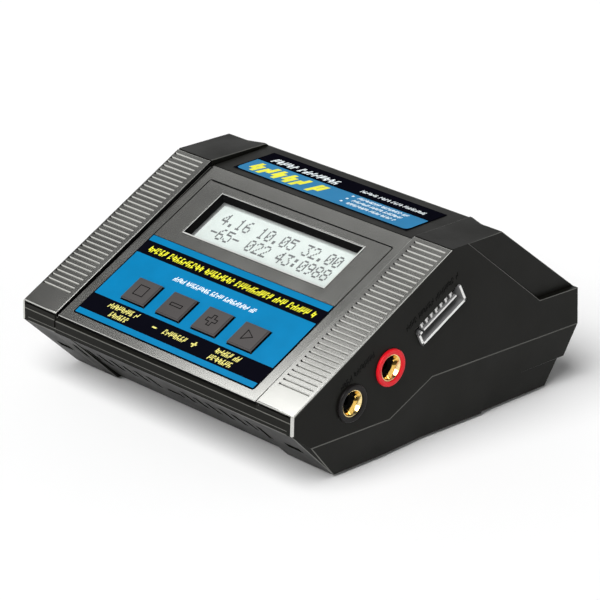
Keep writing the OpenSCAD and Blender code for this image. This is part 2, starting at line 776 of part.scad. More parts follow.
module fuse() {
    color([0.9, 0.88, 0.8]) on_board(-40, 44) translate([0, -10, 4]) rotate([-90, 0, 0]) cylinder(d = 5.2, h = 20);
}

module microcontroller() {
    color([0.05, 0.05, 0.05]) on_board(0, 36) slab(12, 12, 0, 1.4);
}

module buzzer() {
    color([0.08, 0.08, 0.08]) on_board(-26, 34) difference() {
        cylinder(d = 12, h = 8.5);
        translate([0, 0, 6]) cylinder(d = 2, h = 4);
    }
}

// Flat cable from the display board down to the main board
module ribbon_cable() {
    color([0.75, 0.75, 0.78])
        in_case() across([[58, board_top], [59.2, board_top], [59.2, 38.4], [58, 37.8]], 28, 46);
}

// --- Fan ------------------------------------------------------------------

module on_fan() { in_case() on_rear() translate([0, fan_v, -fan_top - fan_t]) children(); }

module fan_frame() {
    tube_d = 5;
    color([0.1, 0.1, 0.1]) on_fan() difference() {
        union() {
            difference() {
                slab(fan_side, fan_side, 0, fan_t);
                translate([0, 0, -1]) cylinder(d = fan_duct_d, h = fan_t + 2);
            }
            cylinder(d = fan_hub_d, h = 1.2);
            cylinder(d = tube_d, h = 7);
            for (a = [45, 135]) rotate(a) slab(fan_duct_d + 1, 2, 0, 1.2);
        }
        translate([0, 0, 0.6]) cylinder(d = fan_shaft_d + 2 * running_gap, h = fan_t);
        for (at = fan_screw_at) translate([at.x, at.y, -1]) cylinder(d = 3.2, h = fan_t + 2);
    }
}

module fan_rotor() {
    hub_z0 = 1.8;
    hub_z1 = fan_t - 0.6;
    color([0.12, 0.12, 0.12]) on_fan() {
        translate([0, 0, 0.9]) cylinder(d = fan_shaft_d, h = hub_z1 - 1);
        difference() {
            translate([0, 0, hub_z0]) cylinder(d = fan_hub_d, h = hub_z1 - hub_z0);
            translate([0, 0, hub_z0 - 1]) cylinder(d = fan_hub_d - 3, h = hub_z1 - hub_z0);
        }
        for (i = [0:fan_blades - 1]) rotate(i * 360 / fan_blades)
            translate([fan_hub_d / 2 - 0.6, 0, (hub_z0 + hub_z1) / 2]) rotate([38, 0, 0])
            translate([0, -3.8, -0.5]) cube([fan_duct_d / 2 - fan_hub_d / 2 - 0.2, 7.6, 1]);
    }
}

module fan_screws() {
    color(steel) on_fan() for (at = fan_screw_at) translate([at.x, at.y, 0]) {
        translate([0, 0, -1.6]) cylinder(d = 5, h = 1.6);
        cylinder(d = screw_d, h = fan_t + 1.6);
    }
}

// --- Fasteners and feet ----------------------------------------------------

module case_screws() {
    color(steel) in_case() for (x = [-1, 1], y = boss_y) translate([x * boss_x, y, 0]) difference() {
        union() {
            translate([0, 0, 3.6]) cylinder(d = screw_head_d, h = 2.4);
            translate([0, 0, 6]) cylinder(d = screw_d, h = 17);
        }
        translate([0, 0, 4.6]) for (a = [0, 90]) rotate(a) slab(3.4, 0.8, -2, 0.4);
    }
}

foot_d = 10;
foot_at = [for (x = [-1, 1], y = [32, 106]) [x * 50, y]];
module rubber_feet() {
    color([0.06, 0.06, 0.06]) in_case() for (at = foot_at) translate([at.x, at.y, -foot_proud]) rotate_extrude()
        polygon([[0, 0], [foot_d / 2 - 0.6, 0], [foot_d / 2, 0.6], [foot_d / 2, foot_proud + 1], [0, foot_proud + 1]]);
}

upper_shell();
lower_shell();
front_panel();
left_rail();
right_rail();
keypad_label();
top_label();
lcd_bezel();
lcd_window();
lcd_module();
display_board();
stop_key();
minus_key();
plus_key();
start_key();
stop_plunger();
minus_plunger();
plus_plunger();
start_plunger();
tact_switches();
negative_jack_ring();
negative_jack_socket();
positive_jack_ring();
positive_jack_socket();
jack_nuts();
balance_housing();
balance_pins();
balance_board();
ac_inlet();
ac_inlet_pins();
dc_jack();
dc_jack_pin();
main_board();
transformer_core();
transformer_winding();
bulk_capacitor();
filter_capacitors();
choke_core();
power_heatsink();
discharge_heatsink();
power_transistors();
fuse();
microcontroller();
buzzer();
ribbon_cable();
fan_frame();
fan_rotor();
fan_screws();
case_screws();
rubber_feet();
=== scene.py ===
"""Looks of a desktop balance charger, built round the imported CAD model."""
import json
import math
import random

import bmesh
import bpy
from mathutils import Matrix, Vector


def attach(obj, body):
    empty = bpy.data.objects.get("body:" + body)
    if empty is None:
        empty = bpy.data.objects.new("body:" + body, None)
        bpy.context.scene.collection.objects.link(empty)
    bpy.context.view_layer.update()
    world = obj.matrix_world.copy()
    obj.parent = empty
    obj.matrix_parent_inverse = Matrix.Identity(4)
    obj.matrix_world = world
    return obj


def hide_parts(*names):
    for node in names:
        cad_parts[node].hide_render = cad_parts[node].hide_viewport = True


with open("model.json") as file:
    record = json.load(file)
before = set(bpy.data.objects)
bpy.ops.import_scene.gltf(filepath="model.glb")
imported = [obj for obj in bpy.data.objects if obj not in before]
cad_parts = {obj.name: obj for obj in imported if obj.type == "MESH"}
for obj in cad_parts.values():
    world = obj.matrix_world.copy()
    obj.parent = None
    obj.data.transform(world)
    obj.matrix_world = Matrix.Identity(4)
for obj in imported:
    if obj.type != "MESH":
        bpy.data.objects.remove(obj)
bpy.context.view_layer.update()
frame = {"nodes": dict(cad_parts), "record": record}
nodes = frame["nodes"]

# ---------------------------------------------------------------- dimensions
# Millimetres, as in the CAD model; MM turns them into metres. The case is HALF_W wide to either
# side and CASE_D deep, stands FOOT above the floor, and slopes up from its front edge at
# FRONT_EDGE_Z to the edge of its top at TOP_FRONT_Y, CASE_H.
MM = 0.001
HALF_W = 65.0
CASE_D = 137.4
CASE_H = 65.4
FOOT = 0.8
FRONT_EDGE_Z = 27.6
TOP_FRONT_Y = 71.2

SLOPE = math.atan2(CASE_H - FRONT_EDGE_Z, TOP_FRONT_Y)
SLOPE_LEN = math.hypot(CASE_H - FRONT_EDGE_Z, TOP_FRONT_Y)

# The panel lies between the rails, PANEL_DROP below the slope at its front and PANEL_DROP_TOP at
# its top. A rail reaches in to RAIL_INNER, and RIB_MARGIN_LEFT is plain to the left of its ribs.
PANEL_DROP = 0.3
PANEL_DROP_TOP = 1.6
PANEL_MID_X = 0.3
PANEL_T = 1.5
TILT = math.atan2(PANEL_DROP_TOP - PANEL_DROP, SLOPE_LEN)
RAIL_INNER = 48.4
RIB_MARGIN_LEFT = {"left_rail": 0.5, "right_rail": 1.8}

# On the panel, distances up the slope are counted from its front edge
KEY_X = [(i - 1.5) * 17.1 for i in range(4)]
KEY_U = 20.9
KEY_PROUD = 1.3
WINDOW_U = 60.0
LCD_DEPTH = 3.8
LABEL_HALF_W = 42.9
LABEL_FRONT = 4.3
LABEL_BACK = 44.2
FILM_T = 0.15

# (y, z) of the sockets in the right wall
JACK_MINUS = (26.4, 24.7)
JACK_PLUS = (43.8, 32.0)
BALANCE_AT = (66.8, 43.9)
BALANCE_PITCH = 2.5

# Thickness of a layer of print on the key film and on the top label, and how far raised marks
# reach into the surface under them and out of it
INK_T = 0.02
TOP_INK_T = 0.03
MARK_SUNK = 0.05
MARK_PROUD = 0.04

# ---------------------------------------------------------------- frames


def shift(x, y, z):
    """Moves by millimetres."""
    return Matrix.Translation((x, y, z))


def turn(angle, axis):
    """Turns by radians round an axis through the origin."""
    return Matrix.Rotation(angle, 4, axis)


# CASE has its origin under the middle of the front edge, with x to the right and y to the back.
# ON_PANEL has it at the front of the panel, with y up the slope and z out of the panel.
CASE = Matrix.Scale(MM, 4) @ shift(0, -CASE_D / 2, FOOT)
ON_SLOPE = CASE @ shift(0, 0, FRONT_EDGE_Z) @ turn(SLOPE, "X")
ON_PANEL = ON_SLOPE @ shift(PANEL_MID_X, 0, -PANEL_DROP) @ turn(-TILT, "X")
TO_PANEL = ON_PANEL.inverted()
OUT_OF_PANEL = (ON_PANEL.to_3x3() @ Vector((0, 0, 1))).normalized()


def on_right(at):
    """Frame on the right wall: z out of the wall, y to the back, x down."""
    return CASE @ shift(HALF_W, at[0], at[1]) @ turn(math.radians(90), "Y")


# ---------------------------------------------------------------- materials


def new_material(name, color, rough, metallic=0.0, specular=0.5, coat=0.0):
    """A principled material, with its node tree and shader to build on."""
    m = bpy.data.materials.new(name)
    m.use_nodes = True
    m.diffuse_color = (*color, 1)
    shader = m.node_tree.nodes["Principled BSDF"]
    shader.inputs["Base Color"].default_value = (*color, 1)
    shader.inputs["Roughness"].default_value = rough
    shader.inputs["Metallic"].default_value = metallic
    shader.inputs["Specular IOR Level"].default_value = specular
    shader.inputs["Coat Weight"].default_value = coat
    return m


def noise(m, scale, detail=2.0, stretch=(1, 1, 1)):
    """Noise in object space, in cycles per metre."""
    tree = m.node_tree
    coords = tree.nodes.new("ShaderNodeTexCoord")
    mapping = tree.nodes.new("ShaderNodeMapping")
    mapping.inputs["Scale"].default_value = stretch
    tex = tree.nodes.new("ShaderNodeTexNoise")
    tex.inputs["Scale"].default_value = scale
    tex.inputs["Detail"].default_value = detail
    tree.links.new(coords.outputs["Object"], mapping.inputs["Vector"])
    tree.links.new(mapping.outputs["Vector"], tex.inputs["Vector"])
    return tex


def add_bump(m, tex, strength, distance):
    """Relief from a texture; distance is in metres."""
    tree = m.node_tree
    bump = tree.nodes.new("ShaderNodeBump")
    bump.inputs["Strength"].default_value = strength
    bump.inputs["Distance"].default_value = distance
    tree.links.new(tex.outputs["Fac"], bump.inputs["Height"])
    tree.links.new(bump.outputs["Normal"], tree.nodes["Principled BSDF"].inputs["Normal"])


def tone(color, factor):
    """A lighter or darker tone of a colour."""
    return tuple(min(1, c * factor) for c in color)


def vary(m, tex, socket, low, high):
    """Drives a shader socket between two values or colours from a texture."""
    tree = m.node_tree
    ramp = tree.nodes.new("ShaderNodeValToRGB")
    ramp.color_ramp.elements[0].position = 0.3
    ramp.color_ramp.elements[1].position = 0.7
    for element, value in zip(ramp.color_ramp.elements, (low, high)):
        element.color = (*value, 1) if isinstance(value, tuple) else (value, value, value, 1)
    tree.links.new(tex.outputs["Fac"], ramp.inputs["Fac"])
    tree.links.new(ramp.outputs["Color"], tree.nodes["Principled BSDF"].inputs[socket])


def moulded(name, color, rough=0.5, grain=900, strength=0.25, specular=0.35, coat=0.0):
    """Moulded plastic: spark-eroded grain, with slight wear in gloss and tone."""
    m = new_material(name, color, rough, specular=specular, coat=coat)
    add_bump(m, noise(m, grain, 3), strength, 0.00006)
    vary(m, noise(m, 60, 4), "Roughness", rough - 0.06, rough + 0.07)
    vary(m, noise(m, 25, 3), "Base Color", tone(color, 0.88), tone(color, 1.12))
    return m


def metallic_paint(name, color, rough):
    """Silver paint: fine flakes that vary its tone, with slight unevenness of gloss and relief."""
    m = new_material(name, color, rough, metallic=1.0)
    vary(m, noise(m, 4500, 1), "Base Color", tone(color, 0.93), tone(color, 1.06))
    vary(m, noise(m, 90, 3), "Roughness", rough - 0.01, rough + 0.02)
    add_bump(m, noise(m, 3000, 2), 0.006, 0.00001)
    return m


def metal(name, color, rough, scratch=(1, 1, 1)):
    """Bare metal; scratch stretches its fine marks along an axis."""
    m = new_material(name, color, rough, metallic=1.0)
    tex = noise(m, 700, 3, scratch)
    vary(m, tex, "Roughness", max(0.03, rough - 0.05), rough + 0.08)
    add_bump(m, tex, 0.08, 0.00002)
    return m


def printed(name, color, rough=0.34, specular=0.08):
    """Screen print on film: faint orange peel and unevenness of the ink."""
    m = new_material(name, color, rough, specular=specular)
    add_bump(m, noise(m, 500, 2), 0.06, 0.00003)
    vary(m, noise(m, 150, 4), "Base Color", tone(color, 0.95), tone(color, 1.05))
    return m


def clear(name, color, rough, alpha):
    """Clear plastic or glass, mostly see-through, with faint ripples."""
    m = new_material(name, color, rough)
    m.node_tree.nodes["Principled BSDF"].inputs["Alpha"].default_value = alpha
    add_bump(m, noise(m, 40, 2), 0.02, 0.0001)
    return m


# The materials of the CAD nodes by material slot, and those that only pieces have
MAT = {
    "shell_black": moulded("shell_black", (0.0056, 0.0056, 0.0042), 0.42, specular=0.1),
    "silver_front": metallic_paint("silver_front", (0.62, 0.62, 0.59), 0.22),
    "label_print": printed("label_blue", (0.0, 0.172, 0.375)),
    "bezel_grey": moulded("bezel_grey", (0.5, 0.51, 0.49), 0.38, 600, 0.1),
    "clear_window": clear("clear_window", (1, 1, 1), 0.05, 0.08),
    "lcd_glass": printed("lcd_glass", (0.6, 0.67, 0.64), 0.4),
    "board_green": moulded("board_green", (0.01, 0.09, 0.035), 0.35, 1500, 0.1, 0.5),
    "key_grey": moulded("key_grey", (0.048, 0.043, 0.042), 0.45, 1100, 0.3),
    "component_black": moulded("component_black", (0.012, 0.012, 0.012), 0.45, 1200, 0.2),
    "tin_metal": metal("tin_metal", (0.6, 0.6, 0.58), 0.28),
    "jack_black": moulded("jack_black", (0.008, 0.007, 0.007), 0.3, 700, 0.05, 0.15),
    "jack_red": moulded("jack_red", (0.66, 0.006, 0.014), 0.3, 700, 0.05, 0.25),
    "gold_plate": metal("gold_plate", (0.93, 0.74, 0.36), 0.1),
    "connector_white": moulded("connector_white", (0.84, 0.84, 0.82), 0.4, 700, 0.1, 0.4),
    "ferrite": moulded("ferrite", (0.03, 0.03, 0.032), 0.6, 900, 0.3),
    "winding_tape": moulded("winding_tape", (0.6, 0.42, 0.03), 0.3, 300, 0.1),
    "capacitor_sleeve": moulded("capacitor_sleeve", (0.012, 0.016, 0.05), 0.25, 300, 0.05),
    "heatsink_aluminium": metal("heatsink_aluminium", (0.56, 0.57, 0.58), 0.32, (1, 1, 0.05)),
    "fuse_glass": clear("fuse_glass", (0.9, 0.95, 0.95), 0.05, 0.35),
    "ribbon_grey": moulded("ribbon_grey", (0.4, 0.4, 0.42), 0.45, 500, 0.1),
    "rubber_black": moulded("rubber_black", (0.012, 0.012, 0.012), 0.75, 1500, 0.4, 0.25),
}
YELLOW = printed("print_yellow", (0.82, 0.80, 0.04))
PALE_YELLOW = printed("print_pale_yellow", (0.74, 0.68, 0.2))
WHITE = printed("print_white", (0.78, 0.84, 0.86))
INK = printed("print_black", (0.003, 0.003, 0.006), specular=0.0)
LCD_INK = printed("lcd_segments", (0.03, 0.04, 0.042), 0.5)
# Lighter, glossier black on the shells' rounded edges: a painted highlight
SHELL_EDGE_HIGHLIGHT = moulded("shell_edge_highlight", (0.1, 0.1, 0.09), 0.35, 900, 0.05, 0.3)
# A darker grey for the balance port's faces in shade: painted shade
SHADED_WHITE = moulded("connector_shade", (0.2, 0.2, 0.2), 0.5, 700, 0.1, 0.2)
# A black that stands in for shade: painted shade on faces and pieces that lie in shade
SHADE_BLACK = moulded("shadow_black", (0.003, 0.003, 0.003), 0.8, 900, 0.05, 0.05)

slots = {entry["node"]: entry["material_slot"] for entry in frame["record"]["subparts"]}
for name, obj in nodes.items():
    obj.data.materials.clear()
    obj.data.materials.append(MAT[slots[name]])

# ---------------------------------------------------------------- mesh tools


def flat_first_normals(mesh, least_cosine):
    """Corner normals weighted by area, so that flats stay flat beside their rounded edges."""
    around = [[] for _ in mesh.vertices]
    for face in mesh.polygons:
        for index in face.vertices:
            around[index].append((face.normal.copy(), face.area))
    normals = []
    for face in mesh.polygons:
        for index in face.vertices:
            total = Vector((0, 0, 0))
            for normal, area in around[index]:
                if normal.dot(face.normal) > least_cosine:
                    total += normal * area
            normals.append(total.normalized() if total.length > 0 else face.normal.copy())
    return normals


def add_piece(name, bm, matrix, material, body="case", replaces=(), smooth=35):
    """Turns a mesh into a piece that rides a body; matrix takes the mesh to the world.

    Edges sharper than smooth, in degrees, stay sharp.
    """
    mesh = bpy.data.meshes.new(name)
    bmesh.ops.recalc_face_normals(bm, faces=bm.faces)
    bm.to_mesh(mesh)
    bm.free()
    mesh.transform(matrix)
    mesh.shade_smooth()
    mesh.set_sharp_from_angle(angle=math.radians(smooth))
    mesh.normals_split_custom_set(flat_first_normals(mesh, math.cos(math.radians(smooth + 5))))
    obj = bpy.data.objects.new(name, mesh)
    bpy.context.scene.collection.objects.link(obj)
    obj.data.materials.append(material)
    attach(obj, body)
    if replaces:
        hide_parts(*replaces)
    return obj


def box(bm, x0, x1, y0, y1, z0, z1):
    """A block between two values on each axis."""
    for v in bmesh.ops.create_cube(bm, size=1)["verts"]:
        v.co.x = (x0 + x1) / 2 + v.co.x * (x1 - x0)
        v.co.y = (y0 + y1) / 2 + v.co.y * (y1 - y0)
        v.co.z = (z0 + z1) / 2 + v.co.z * (z1 - z0)


def prism(bm, outline, z0, z1):
    """A closed solid from a counter-clockwise outline."""
    low = [bm.verts.new((x, y, z0)) for x, y in outline]
    high = [bm.verts.new((x, y, z1)) for x, y in outline]
    bm.faces.new(list(reversed(low)))
    bm.faces.new(high)
    n = len(outline)
    for i in range(n):
        j = (i + 1) % n
        bm.faces.new((low[i], low[j], high[j], high[i]))


def lathe(bm, profile, steps):
    """Turns a closed outline of (radius, height) round the z axis."""
    rings = []
    for k in range(steps):
        a = 2 * math.pi * k / steps
        rings.append([bm.verts.new((r * math.cos(a), r * math.sin(a), z)) for r, z in profile])
    n = len(profile)
    for k in range(steps):
        a, b = rings[k], rings[(k + 1) % steps]
        for i in range(n):
            j = (i + 1) % n
            bm.faces.new((a[i], b[i], b[j], a[j]))


def softened(name, width, least, body="case", segments=2, low=18, high=100, dark=None, rim=None):
    """A copy of a CAD node with its long outer edges rounded, which stands for the node.

    Outer edges longer than least that turn by low to high degrees are rounded by width; both are
    in millimetres. The second material is the black of painted shade, on the faces that dark
    picks, or else rim, a painted highlight, on the rounded edges.
    """
    bm = bmesh.new()
    bm.from_mesh(nodes[name].data)
    bmesh.ops.remove_doubles(bm, verts=bm.verts, dist=0.00001)
    bmesh.ops.dissolve_limit(bm, angle_limit=math.radians(0.5), verts=bm.verts, edges=bm.edges)
    if dark:
        for face in bm.faces:
            face.material_index = 1 if dark(face) else 0
    chosen = []
    for edge in bm.edges:
        if len(edge.link_faces) == 2 and edge.is_convex and edge.calc_length() > least * MM:
            if low < math.degrees(edge.calc_face_angle(0)) < high:
                chosen.append(edge)
    bmesh.ops.bevel(bm, geom=chosen, offset=width * MM, offset_type="OFFSET", segments=segments,
                    profile=0.5, affect="EDGES", clamp_overlap=False, material=1 if rim else 0)
    piece = add_piece(name + "_moulded", bm, Matrix.Identity(4), MAT[slots[name]], body, (name,),
                      30)
    second = SHADE_BLACK if dark else rim
    if second:
        piece.data.materials.append(second)
    return piece


# ---------------------------------------------------------------- silver front


def on_walls(walls):
    """Picks the faces that face sideways and lie in one of the walls, given as x."""

    def picked(face):
        x = face.calc_center_median().x / MM
        return abs(face.normal.x) > 0.9 and min(abs(x - wall) for wall in walls) < 0.2

    return picked


def in_panel_edge(face):
    """Whether a face lies below the panel's outer side and above its inner side."""
    return -PANEL_T < (TO_PANEL @ face.calc_center_median()).z < -0.1


def silver_front():
    """Rails and panel; the rails' inner side walls, the left end walls of their rib grooves and the
    edges of the panel are black, as painted shade in the grooves.
    """
    for name, left_x in (("left_rail", -HALF_W), ("right_rail", RAIL_INNER)):
        walls = (left_x + RIB_MARGIN_LEFT[name], math.copysign(RAIL_INNER, left_x))
        # Painted shade: the left end walls of the rib grooves and the rails' inner side walls are black
        softened(name, 0.2, 16, dark=on_walls(walls))
    # Painted shade: the panel's edges beside the rails are black
    softened("front_panel", 0.25, 18, dark=in_panel_edge)


# ---------------------------------------------------------------- printed labels

# Print of letter size; widths, gaps and the slant are parts of the letter height
SLANT = 0.22
LETTER_WIDTHS = (0.42, 0.48, 0.52, 0.56)
LETTER_GAP = 0.17
WORD_GAP = 0.4


def words(rng, x0, x1, height):
    """Cells of letter size in groups like words, as (left, right)."""
    spans = []
    x = x0
    left_in_word = rng.randint(4, 9)
    while x < x1 - WORD_GAP * height:
        w = height * rng.choice(LETTER_WIDTHS)
        spans.append((x, min(x + w, x1)))
        x += w + LETTER_GAP * height
        left_in_word -= 1
        if left_in_word == 0:
            x += WORD_GAP * height
            left_in_word = rng.randint(3, 9)
    return spans


def bar(bm, x0, x1, y0, y1, z0, z1):
    """A slanted bar; x0 and x1 are its ends at y0."""
    lean = SLANT * (y1 - y0)
    prism(bm, [(x0, y0), (x1, y0), (x1 + lean, y1), (x0 + lean, y1)], z0, z1)


# Strokes of the made-up marks that stand for small print, as (column, bottom, top): l and r are
# the left and right side of a cell, m is the space between them, and the heights are parts of
# the letter height
MARKS = (
    (("l", 0, 1), ("r", 0.3, 1), ("m", 0.3, 0.46)),
    (("l", 0, 0.7), ("r", 0.3, 1), ("m", 0.42, 0.58)),
    (("l", 0, 1), ("m", 0.84, 1), ("m", 0.1, 0.26), ("r", 0.5, 0.72)),
    (("l", 0, 0.62), ("r", 0, 1), ("m", 0.46, 0.62)),
    (("l", 0.25, 1), ("r", 0, 0.75), ("m", 0.25, 0.41), ("m", 0.6, 0.75)),
    (("l", 0, 1), ("r", 0, 0.45), ("m", 0.3, 0.45), ("m", 0.84, 1)),
)


def letter_blocks(bm, seed, x0, x1, y0, y1, z0, z1, weight=0.19):
    """A line of slanted made-up marks; weight is the width of a stroke by the letter height."""
    rng = random.Random(seed)
    h = y1 - y0
    stroke = weight * h
    for a, b in words(rng, x0, x1, h):
        columns = {"l": (a, a + stroke), "m": (a + stroke, b - stroke), "r": (b - stroke, b)}
        for column, low, high in rng.choice(MARKS):
            left, right = columns[column]
            if right - left > 0.05:
                lean = SLANT * low * h
                bar(bm, left + lean, right + lean, y0 + low * h, y0 + high * h, z0, z1)


def ring_band(bm, x0, x1, y0, y1, t, z0, z1):
    """Four strips of width t round a rectangle, just outside it."""
    box(bm, x0 - t, x1 + t, y0 - t, y0, z0, z1)
    box(bm, x0 - t, x1 + t, y1, y1 + t, z0, z1)
    box(bm, x0 - t, x0, y0, y1, z0, z1)
    box(bm, x1, x1 + t, y0, y1, z0, z1)


def keypad_print():
    """Two black bands and a black border on the key film, with made-up captions over them."""
    film = FILM_T
    band = film + INK_T
    over = film + 2 * INK_T
    side = LABEL_HALF_W
    thin = 0.16
    bm = bmesh.new()
    for y0, y1 in ((6.6, 14.0), (35.6, 41.6)):
        box(bm, -side, side, y0, y1, film, band)
    ring_band(bm, -side, side, LABEL_FRONT, LABEL_BACK, 0.25, 0, band)
    add_piece("keypad_black_print", bm, ON_PANEL, INK)
    bm = bmesh.new()
    letter_blocks(bm, 3, -39.6, 39.6, 37.2, 39.9, band, over, thin)
    add_piece("keypad_yellow_print", bm, ON_PANEL, YELLOW)
    # Two lines at each side, and one in the middle between a minus and a plus sign
    caption_h = 2.3
    bm = bmesh.new()
    for seed, x0, x1, y in ((5, -33.2, -18.6, 10.7), (6, -29.8, -20.6, 7.5), (8, 18.6, 29.6, 10.7),
                            (9, 18.2, 29.6, 7.5), (11, -5.2, 5.6, 9.4)):
        letter_blocks(bm, seed, x0, x1, y, y + caption_h, band, over, thin)
    bar(bm, -10.6, -8.6, 10.2, 10.8, band, over)
    bar(bm, 8.2, 10.6, 10.2, 10.8, band, over)
    bar(bm, 9.1, 9.7, 9.3, 11.7, band, over)
    add_piece("keypad_caption_print", bm, ON_PANEL, PALE_YELLOW)
    bm = bmesh.new()
    letter_blocks(bm, 14, -20, 19.5, 30.2, 32.2, film, band, thin)
    add_piece("keypad_white_print", bm, ON_PANEL, WHITE)


def on_top_label():
    """Frame on the top label, with its origin at the front and y up the label."""
    corners = [v.co / MM for v in nodes["top_label"].data.vertices]
    front_y = min(p.y for p in corners)
    back_y = max(p.y for p in corners)
    front_z = max(p.z for p in corners if p.y < front_y + 0.5)
    back_z = max(p.z for p in corners if p.y > back_y - 0.5)
    rise = math.atan2(back_z - front_z, back_y - front_y)
    return Matrix.Scale(MM, 4) @ shift(0, front_y, front_z) @ turn(rise, "X")


def top_print():
    """A black band and border on the top label, with made-up print over and before the band."""
    place = on_top_label()
    over = TOP_INK_T + INK_T
    bm = bmesh.new()
    box(bm, -41, 41, 11.2, 19.2, 0, TOP_INK_T)
    ring_band(bm, -40.6, 40.6, 0.45, 19.1, 0.5, -0.1, TOP_INK_T)
    # The border is rounded inside its two front corners
    corner = [(40.6, 0.4), (40.6, 2.4), (40.2, 1.2), (39.8, 0.8), (38.6, 0.4)]
    for side in (-1, 1):
        prism(bm, [(side * x, y) for x, y in corner][::side], 0, TOP_INK_T)
    add_piece("top_black_print", bm, place, INK)
    bm = bmesh.new()
    letter_blocks(bm, 21, -38.0, -1.6, 2.0, 9.4, 0, TOP_INK_T, 0.26)
    add_piece("top_yellow_print", bm, place, YELLOW)
    bm = bmesh.new()
    letter_blocks(bm, 22, -36, -4, 12.6, 16.2, TOP_INK_T, over)
    letter_blocks(bm, 23, 6, 37, 14.0, 15.9, TOP_INK_T, over)
    # Three lines with a square dot before each
    for k in range(3):
        down = 2.9 * k
        letter_blocks(bm, 24 + k, 10, 33, 8.6 - down, 10.3 - down, 0, TOP_INK_T)
        box(bm, 7, 7.9, 9.0 - down, 9.9 - down, 0, TOP_INK_T)
    add_piece("top_white_print", bm, place, WHITE)


# ---------------------------------------------------------------- display

# Dot patterns of the characters shown, each in seven rows of five dots from the top down
GLYPHS = {
    "0": "01110 10001 10011 10101 11001 10001 01110",
    "1": "00100 01100 00100 00100 00100 00100 01110",
    "2": "01110 10001 00001 00010 00100 01000 11111",
    "3": "11111 00010 00100 00010 00001 10001 01110",
    "4": "00010 00110 01010 10010 11111 00010 00010",
    "5": "11111 10000 11110 00001 00001 10001 01110",
    "6": "00110 01000 10000 11110 10001 10001 01110",
    "8": "01110 10001 10001 01110 10001 10001 01110",
    "9": "01110 10001 10001 01111 00001 00010 01100",
    ".": "00000 00000 00000 00000 00000 01100 01100",
    ":": "00000 01100 01100 00000 01100 01100 00000",
    "-": "00000 00000 00000 11111 00000 00000 00000",
    " ": "00000 00000 00000 00000 00000 00000 00000",
}
LCD_LINES = ("4.16 10.05 32.00", "-65- 022 43:0988")
# Pitches and sizes across and up the glass; beyond BEZEL_LEFT and BEZEL_BACK the bezel is black, as
# painted shade
CHAR_PITCH = 3.55
LINE_PITCH = 6.5
DOT_PITCH = (0.6, 0.76)
DOT = (0.57, 0.73)
DOT_T = 0.03
GLASS_T = 0.5
BEZEL_LEFT = -33.2
BEZEL_BACK = WINDOW_U + 9.7


def facing_less_than(least):
    """Picks the faces that face out of the panel less than a cosine."""
    return lambda face: face.normal.dot(OUT_OF_PANEL) < least


def display():
    """Bezel with rounded edges, its sides black as painted shade, and a two-line reading in dots on the
    glass.
    """
    bezel = softened("lcd_bezel", 0.12, 5, low=10, dark=facing_less_than(0.8))
    # Painted shade: the bezel's rims at the left and at the back are black too
    for face in bezel.data.polygons:
        place = TO_PANEL @ face.center
        if place.x < BEZEL_LEFT or place.y > BEZEL_BACK:
            face.material_index = 1
    glass_top = -LCD_DEPTH + GLASS_T
    first_y = WINDOW_U + LINE_PITCH - 0.65
    bm = bmesh.new()
    for row, text in enumerate(LCD_LINES):
        y_top = first_y - row * LINE_PITCH
        for column, char in enumerate(text):
            x_left = (column - len(text) // 2) * CHAR_PITCH + 0.3
            for j, bits in enumerate(GLYPHS[char].split()):
                for i, bit in enumerate(bits):
                    if bit == "1":
                        x = x_left + i * DOT_PITCH[0]
                        y = y_top - j * DOT_PITCH[1]
                        box(bm, x, x + DOT[0], y - DOT[1], y, glass_top, glass_top + DOT_T)
    add_piece("lcd_reading", bm, ON_PANEL, LCD_INK)


# ---------------------------------------------------------------- keys

# Outlines of the marks on the keys, from left to right, about the middle of a key
KEY_MARKS = {
    "stop": [(-2.2, -2.2), (2.2, -2.2), (2.2, 2.2), (-2.2, 2.2)],
    "minus": [(-2.6, -0.6), (2.6, -0.6), (2.6, 0.6), (-2.6, 0.6)],
    "plus": [(-2.3, -0.7), (-0.7, -0.7), (-0.7, -2.3), (0.7, -2.3), (0.7, -0.7), (2.3, -0.7),
             (2.3, 0.7), (0.7, 0.7), (0.7, 2.3), (-0.7, 2.3), (-0.7, 0.7), (-2.3, 0.7)],
    "start": [(-1.6, -2.1), (2.1, 0), (-1.6, 2.1)],
}
KEY_MARK_HALF = 0.13
KEY_MARK_PROUD = 0.09


def keys():
    """Keys with rounded edges and sides black with painted shade, each with a raised outline on top in
    the black of painted shade.
    """
    for middle, (name, shape) in zip(KEY_X, KEY_MARKS.items()):
        body = name + "_button"
        # Painted shade: the sides of each key are black
        softened(name + "_key", 0.22, 5, body, 3, dark=facing_less_than(0.5))
        outline = [Vector(p) for p in shape]
        bm = bmesh.new()
        for k, a in enumerate(outline):
            b = outline[(k + 1) % len(outline)]
            along = (b - a).normalized() * KEY_MARK_HALF
            side = Vector((-along.y, along.x))
            corners = [a - along - side, b + along - side, b + along + side, a - along + side]
            prism(bm, [(p.x + middle, p.y + KEY_U) for p in corners],
                  KEY_PROUD - MARK_SUNK, KEY_PROUD + KEY_MARK_PROUD)
        # Painted shade: the outline is drawn in the black that stands for shade
        add_piece(name + "_mark", bm, ON_PANEL, SHADE_BLACK, body)


# ---------------------------------------------------------------- outputs

